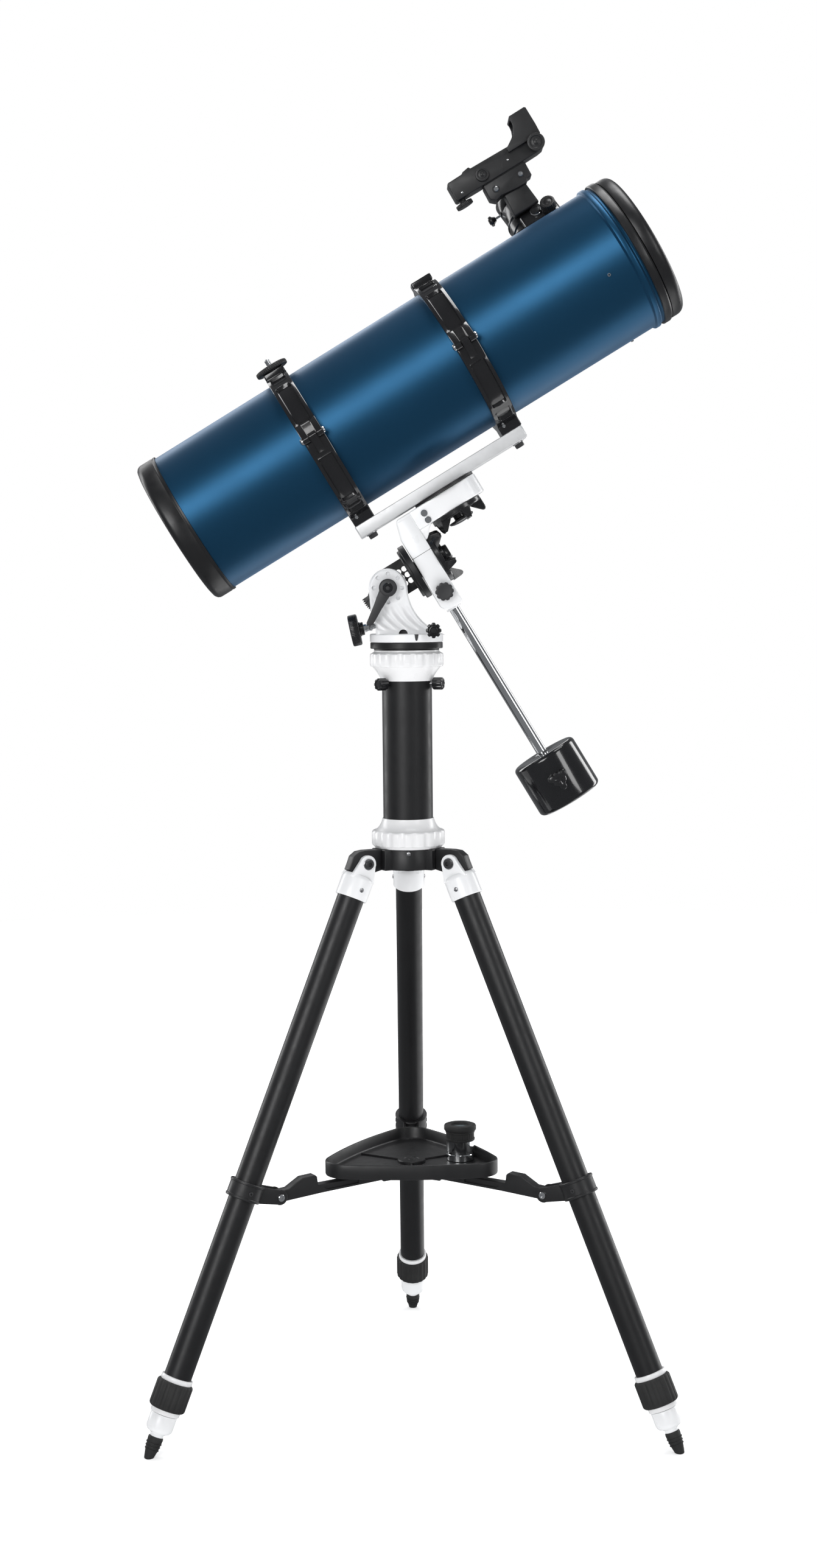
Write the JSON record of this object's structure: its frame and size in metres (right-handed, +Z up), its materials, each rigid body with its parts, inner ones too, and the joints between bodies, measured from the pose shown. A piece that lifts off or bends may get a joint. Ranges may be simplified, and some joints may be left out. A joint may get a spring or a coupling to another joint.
{
  "type": "telescope on tripod",
  "caption": "Reflector telescope in hinged tube rings on a counterweighted alt-latitude mount, with a pillar, a folding tripod and an accessory tray.",
  "frame": {"origin": "on the floor, on the tripod's centre line", "axes": "+Z up; -Y is the side with the lock lever and the ring hinges; the tube points up and towards +X"},
  "size_m": [0.6055, 0.5101, 1.4635],
  "materials": {
    "blue_enamel": "metallic gloss",
    "black_powder_coat": "satin",
    "white_casting": "painted satin gloss",
    "black_gloss_casting": "painted gloss",
    "black_plastic": "fine texture",
    "gloss_black_plastic": "gloss",
    "white_plastic": "satin gloss",
    "chrome": "polished",
    "steel": "machined",
    "bare_aluminium": "sandblasted",
    "extension_aluminium": "anodised",
    "weight_paint": "painted gloss",
    "rubber": "matte",
    "mirror_coat": "optical",
    "lens_glass": "coated"
  },
  "bodies": {
    "stand": {"hub": "black_gloss_casting", "pillar": "black_powder_coat", "pillar_collars": "white_plastic", "pillar_thumbscrews": "gloss_black_plastic"},
    "leg_1": {"leg_top_1": "white_casting", "leg_tube_1": "black_powder_coat"},
    "extension_1": {"leg_extension_1": "extension_aluminium"},
    "twist_lock_1": {"leg_lock_1": "rubber"},
    "brace_1": {"spreader_arm_1": "black_plastic"},
    "leg_2": {"leg_top_2": "white_casting", "leg_tube_2": "black_powder_coat"},
    "extension_2": {"leg_extension_2": "extension_aluminium"},
    "twist_lock_2": {"leg_lock_2": "rubber"},
    "brace_2": {"spreader_arm_2": "black_plastic"},
    "leg_3": {"leg_top_3": "white_casting", "leg_tube_3": "black_powder_coat"},
    "extension_3": {"leg_extension_3": "extension_aluminium"},
    "twist_lock_3": {"leg_lock_3": "rubber"},
    "brace_3": {"spreader_arm_3": "black_plastic"},
    "spreader_centre": {"spreader_hub": "black_plastic"},
    "accessory_tray": {"tray": "black_plastic"},
    "eyepiece": {"eyepiece_barrel": "chrome", "eyepiece_body": "rubber"},
    "azimuth_head": {"mount_base": "white_casting", "latitude_axle": "steel"},
    "azimuth_lock": {"azimuth_knob": "gloss_black_plastic"},
    "altitude_screw": {"altitude_knob": "gloss_black_plastic"},
    "lever": {"lock_lever": "black_plastic"},
    "polar_head": {"latitude_bracket": "black_gloss_casting"},
    "ra_head": {"ra_plate": "white_casting", "dec_plate": "white_casting", "counterweight_shaft": "chrome"},
    "ra_clutch": {"ra_wheel": "gloss_black_plastic"},
    "dec_clutch": {"dec_wheel": "gloss_black_plastic"},
    "shaft_lock": {"shaft_lock_knob": "black_plastic"},
    "weight": {"counterweight": "weight_paint"},
    "weight_lock": {"weight_screw": "gloss_black_plastic"},
    "tube_carriage": {"dec_saddle": "black_gloss_casting", "mounting_bar": "bare_aluminium", "bar_bolts": "steel", "ring_lower": "black_gloss_casting", "main_tube": "blue_enamel", "rear_cell": "gloss_black_plastic", "primary_mirror": "mirror_coat", "front_ring": "gloss_black_plastic", "spider": "black_powder_coat", "secondary_mirror": "mirror_coat", "focuser_body": "gloss_black_plastic", "finder_bracket": "black_plastic", "finder_body": "black_plastic", "finder_lens": "lens_glass"},
    "ring_lid_1": {"ring_upper_1": "black_gloss_casting", "piggyback_stud": "black_plastic"},
    "ring_screw_1": {"ring_clamp_1": "gloss_black_plastic"},
    "ring_lid_2": {"ring_upper_2": "black_gloss_casting"},
    "ring_screw_2": {"ring_clamp_2": "gloss_black_plastic"},
    "cap": {"dust_cap": "gloss_black_plastic"},
    "drawtube": {"focuser_drawtube": "gloss_black_plastic"},
    "focus_pinion": {"focuser_knobs": "black_plastic"},
    "finder_switch": {"finder_knob": "black_plastic"}
  },
  "joints": [
    {"name": "leg_fold_1", "type": "hinge", "parent": "stand", "child": "leg_1", "pos_m": [-0.05075, -0.0293, 0.627], "axis": [0.5, -0.866, 0], "range_deg": [0, 11]},
    {"name": "leg_length_1", "type": "slide", "parent": "leg_1", "child": "extension_1", "axis": [-0.3453, -0.1994, -0.9171], "range_m": [0, 0.36]},
    {"name": "twist_lock_turn_1", "type": "hinge", "parent": "leg_1", "child": "twist_lock_1", "pos_m": [-0.26268, -0.15166, 0.06419], "axis": [0.3453, 0.1994, 0.9171], "range_deg": [0, 90]},
    {"name": "brace_fold_1", "type": "hinge", "parent": "leg_1", "child": "brace_1", "pos_m": [-0.14896, -0.086, 0.265], "axis": [-0.5, 0.866, 0], "range_deg": [0, 72.55]},
    {"name": "leg_fold_2", "type": "hinge", "parent": "stand", "child": "leg_2", "pos_m": [0.05075, -0.0293, 0.627], "axis": [0.5, 0.866, 0], "range_deg": [0, 11]},
    {"name": "leg_length_2", "type": "slide", "parent": "leg_2", "child": "extension_2", "axis": [0.3453, -0.1994, -0.9171], "range_m": [0, 0.36]},
    {"name": "twist_lock_turn_2", "type": "hinge", "parent": "leg_2", "child": "twist_lock_2", "pos_m": [0.26268, -0.15166, 0.06419], "axis": [-0.3453, 0.1994, 0.9171], "range_deg": [0, 90]},
    {"name": "brace_fold_2", "type": "hinge", "parent": "leg_2", "child": "brace_2", "pos_m": [0.14896, -0.086, 0.265], "axis": [-0.5, -0.866, 0], "range_deg": [0, 72.55]},
    {"name": "leg_fold_3", "type": "hinge", "parent": "stand", "child": "leg_3", "pos_m": [0, 0.0586, 0.627], "axis": [-1, 0, 0], "range_deg": [0, 11]},
    {"name": "leg_length_3", "type": "slide", "parent": "leg_3", "child": "extension_3", "axis": [0, 0.3987, -0.9171], "range_m": [0, 0.36]},
    {"name": "twist_lock_turn_3", "type": "hinge", "parent": "leg_3", "child": "twist_lock_3", "pos_m": [0, 0.30332, 0.06419], "axis": [0, -0.3987, 0.9171], "range_deg": [0, 90]},
    {"name": "brace_fold_3", "type": "hinge", "parent": "leg_3", "child": "brace_3", "pos_m": [0, 0.172, 0.265], "axis": [1, 0, 0], "range_deg": [0, 72.55]},
    {"name": "spreader_centre_drop", "type": "slide", "parent": "stand", "child": "spreader_centre", "axis": [0, 0, -1], "range_m": [0, 0.15]},
    {"name": "tray_lift", "type": "slide", "parent": "stand", "child": "accessory_tray", "axis": [0, 0, 1], "range_m": [0, 0.03]},
    {"name": "eyepiece_lift", "type": "slide", "parent": "accessory_tray", "child": "eyepiece", "axis": [0, 0, 1], "range_m": [0, 0.06]},
    {"name": "azimuth", "type": "hinge", "parent": "stand", "child": "azimuth_head", "pos_m": [0, 0, 0.873], "axis": [0, 0, 1], "continuous": true},
    {"name": "azimuth_lock_turn", "type": "hinge", "parent": "azimuth_head", "child": "azimuth_lock", "pos_m": [0.03, -0.036, 0.886], "axis": [0, -1, 0], "continuous": true},
    {"name": "lock_lever_swing", "type": "hinge", "parent": "azimuth_head", "child": "lever", "pos_m": [-0.02, -0.026, 0.9333], "axis": [0, -1, 0], "range_deg": [-50, 50]},
    {"name": "latitude", "type": "hinge", "parent": "azimuth_head", "child": "polar_head", "pos_m": [-0.02, 0, 0.9333], "axis": [0, -1, 0], "range_deg": [-10, 58]},
    {"name": "altitude_screw_turn", "type": "hinge", "parent": "azimuth_head", "child": "altitude_screw", "pos_m": [-0.055, 0, 0.887], "axis": [0.9781, 0, 0.2079], "range_deg": [-700, 3600]},
    {"name": "right_ascension", "type": "hinge", "parent": "polar_head", "child": "ra_head", "pos_m": [-0.02, 0, 0.9333], "axis": [0.8572, 0, 0.515], "range_deg": [-115, 115]},
    {"name": "ra_clutch_turn", "type": "hinge", "parent": "ra_head", "child": "ra_clutch", "pos_m": [0.03743, 0, 0.96781], "axis": [0.8572, 0, 0.515], "continuous": true},
    {"name": "dec_clutch_turn", "type": "hinge", "parent": "ra_head", "child": "dec_clutch", "pos_m": [0.05729, 0, 1.01824], "axis": [-0.515, 0, 0.8572], "continuous": true},
    {"name": "shaft_lock_turn", "type": "hinge", "parent": "ra_head", "child": "shaft_lock", "pos_m": [0.04269, -0.03, 0.92838], "axis": [0, -1, 0], "continuous": true},
    {"name": "counterweight_slide", "type": "slide", "parent": "ra_head", "child": "weight", "axis": [-0.515, 0, 0.8572], "range_m": [0, 0.14]},
    {"name": "weight_lock_turn", "type": "hinge", "parent": "weight", "child": "weight_lock", "pos_m": [0.16771, -0.04, 0.72031], "axis": [0, -1, 0], "continuous": true},
    {"name": "declination", "type": "hinge", "parent": "ra_head", "child": "tube_carriage", "pos_m": [0.04339, 0, 1.04138], "axis": [-0.515, 0, 0.8572], "continuous": true},
    {"name": "ring_open_1", "type": "hinge", "parent": "tube_carriage", "child": "ring_lid_1", "pos_m": [-0.09798, -0.096, 1.09551], "axis": [0.8572, 0, 0.515], "range_deg": [0, 95]},
    {"name": "ring_screw_turn_1", "type": "hinge", "parent": "ring_lid_1", "child": "ring_screw_1", "pos_m": [-0.10869, 0.099, 1.11333], "axis": [-0.515, 0, 0.8572], "continuous": true},
    {"name": "ring_open_2", "type": "hinge", "parent": "tube_carriage", "child": "ring_lid_2", "pos_m": [0.06557, -0.096, 1.19378], "axis": [0.8572, 0, 0.515], "range_deg": [0, 95]},
    {"name": "ring_screw_turn_2", "type": "hinge", "parent": "ring_lid_2", "child": "ring_screw_2", "pos_m": [0.05486, 0.099, 1.2116], "axis": [-0.515, 0, 0.8572], "continuous": true},
    {"name": "dust_cap_pull", "type": "slide", "parent": "tube_carriage", "child": "cap", "axis": [0.8572, 0, 0.515], "range_m": [0, 0.08]},
    {"name": "focus_travel", "type": "slide", "parent": "tube_carriage", "child": "drawtube", "axis": [-0.4219, 0.5736, 0.7022], "range_m": [0, 0.035]},
    {"name": "focus_knob_turn", "type": "hinge", "parent": "tube_carriage", "child": "focus_pinion", "pos_m": [0.1729, 0.05219, 1.3394], "axis": [-0.2954, -0.8192, 0.4917], "range_deg": [-5, 420]},
    {"name": "finder_switch_turn", "type": "hinge", "parent": "tube_carriage", "child": "finder_switch", "pos_m": [0.14868, 0.02, 1.42396], "axis": [0, -1, 0], "range_deg": [0, 270]}
  ],
  "couplings": [
    {"joint": "brace_fold_1", "follows": "leg_fold_1", "ratio": 6.55},
    {"joint": "leg_fold_2", "follows": "leg_fold_1", "ratio": 1},
    {"joint": "brace_fold_2", "follows": "leg_fold_1", "ratio": 6.55},
    {"joint": "leg_fold_3", "follows": "leg_fold_1", "ratio": 1},
    {"joint": "brace_fold_3", "follows": "leg_fold_1", "ratio": 6.55},
    {"joint": "spreader_centre_drop", "follows": "leg_fold_1", "m_per_rad": 0.7292},
    {"joint": "altitude_screw_turn", "follows": "latitude", "ratio": 60},
    {"joint": "focus_knob_turn", "follows": "focus_travel", "rad_per_m": 200}
  ]
}
